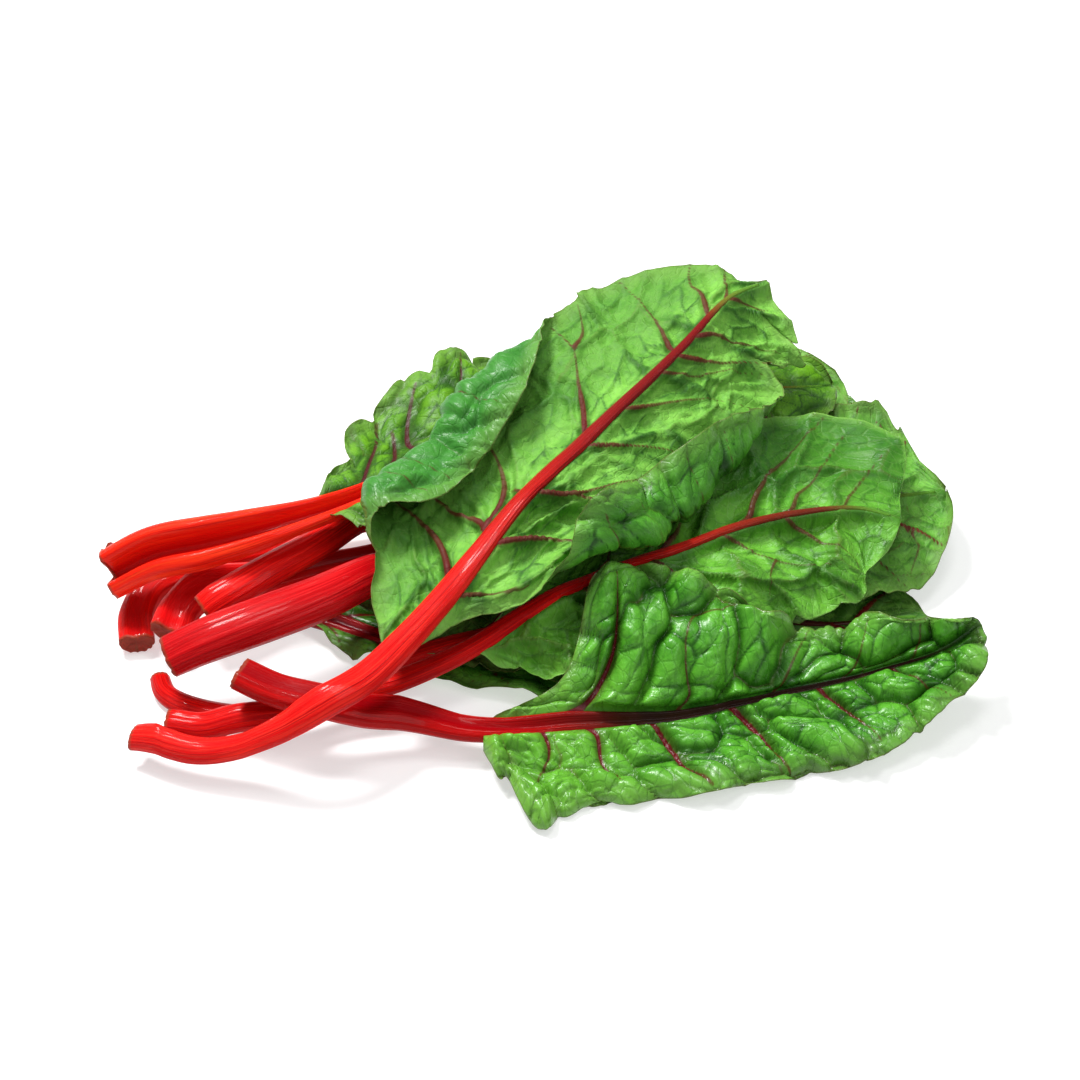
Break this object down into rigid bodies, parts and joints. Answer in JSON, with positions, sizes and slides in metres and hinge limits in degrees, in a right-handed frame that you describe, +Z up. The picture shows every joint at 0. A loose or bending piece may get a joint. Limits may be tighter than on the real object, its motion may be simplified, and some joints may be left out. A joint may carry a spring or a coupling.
{
  "type": "swiss chard bunch",
  "caption": "Loose bunch of red-stemmed chard lying on its side: channelled stalks crossing at the cut ends, broad crinkled leaves piled on one another.",
  "frame": {"origin": "middle of the footprint, on the surface that the bunch lies on", "axes": "+X from the cut ends of the stalks to the leaf tips, +Y from the front of the pile to its back, +Z up"},
  "size_m": [0.4228, 0.3208, 0.1009],
  "materials": {
    "stalk": "smooth waxy red stalk, ribbed lengthwise, with soft highlights",
    "blade": "crinkled green leaf, glossy on the face and paler and duller on the back, with red veins"
  },
  "bodies": {
    "root": {"floor_leaf_stalk": "stalk", "floor_leaf_blade": "blade", "rear_leaf_stalk": "stalk", "rear_leaf_blade": "blade", "inner_leaf_stalk": "stalk", "inner_leaf_blade": "blade", "low_leaf_stalk": "stalk", "low_leaf_blade": "blade", "middle_leaf_stalk": "stalk", "middle_leaf_blade": "blade", "far_leaf_stalk": "stalk", "far_leaf_blade": "blade", "broad_leaf_stalk": "stalk", "broad_leaf_blade": "blade", "right_leaf_stalk": "stalk", "right_leaf_blade": "blade", "front_leaf_stalk": "stalk", "front_leaf_blade": "blade", "top_leaf_stalk": "stalk", "top_leaf_blade": "blade"}
  },
  "joints": []
}
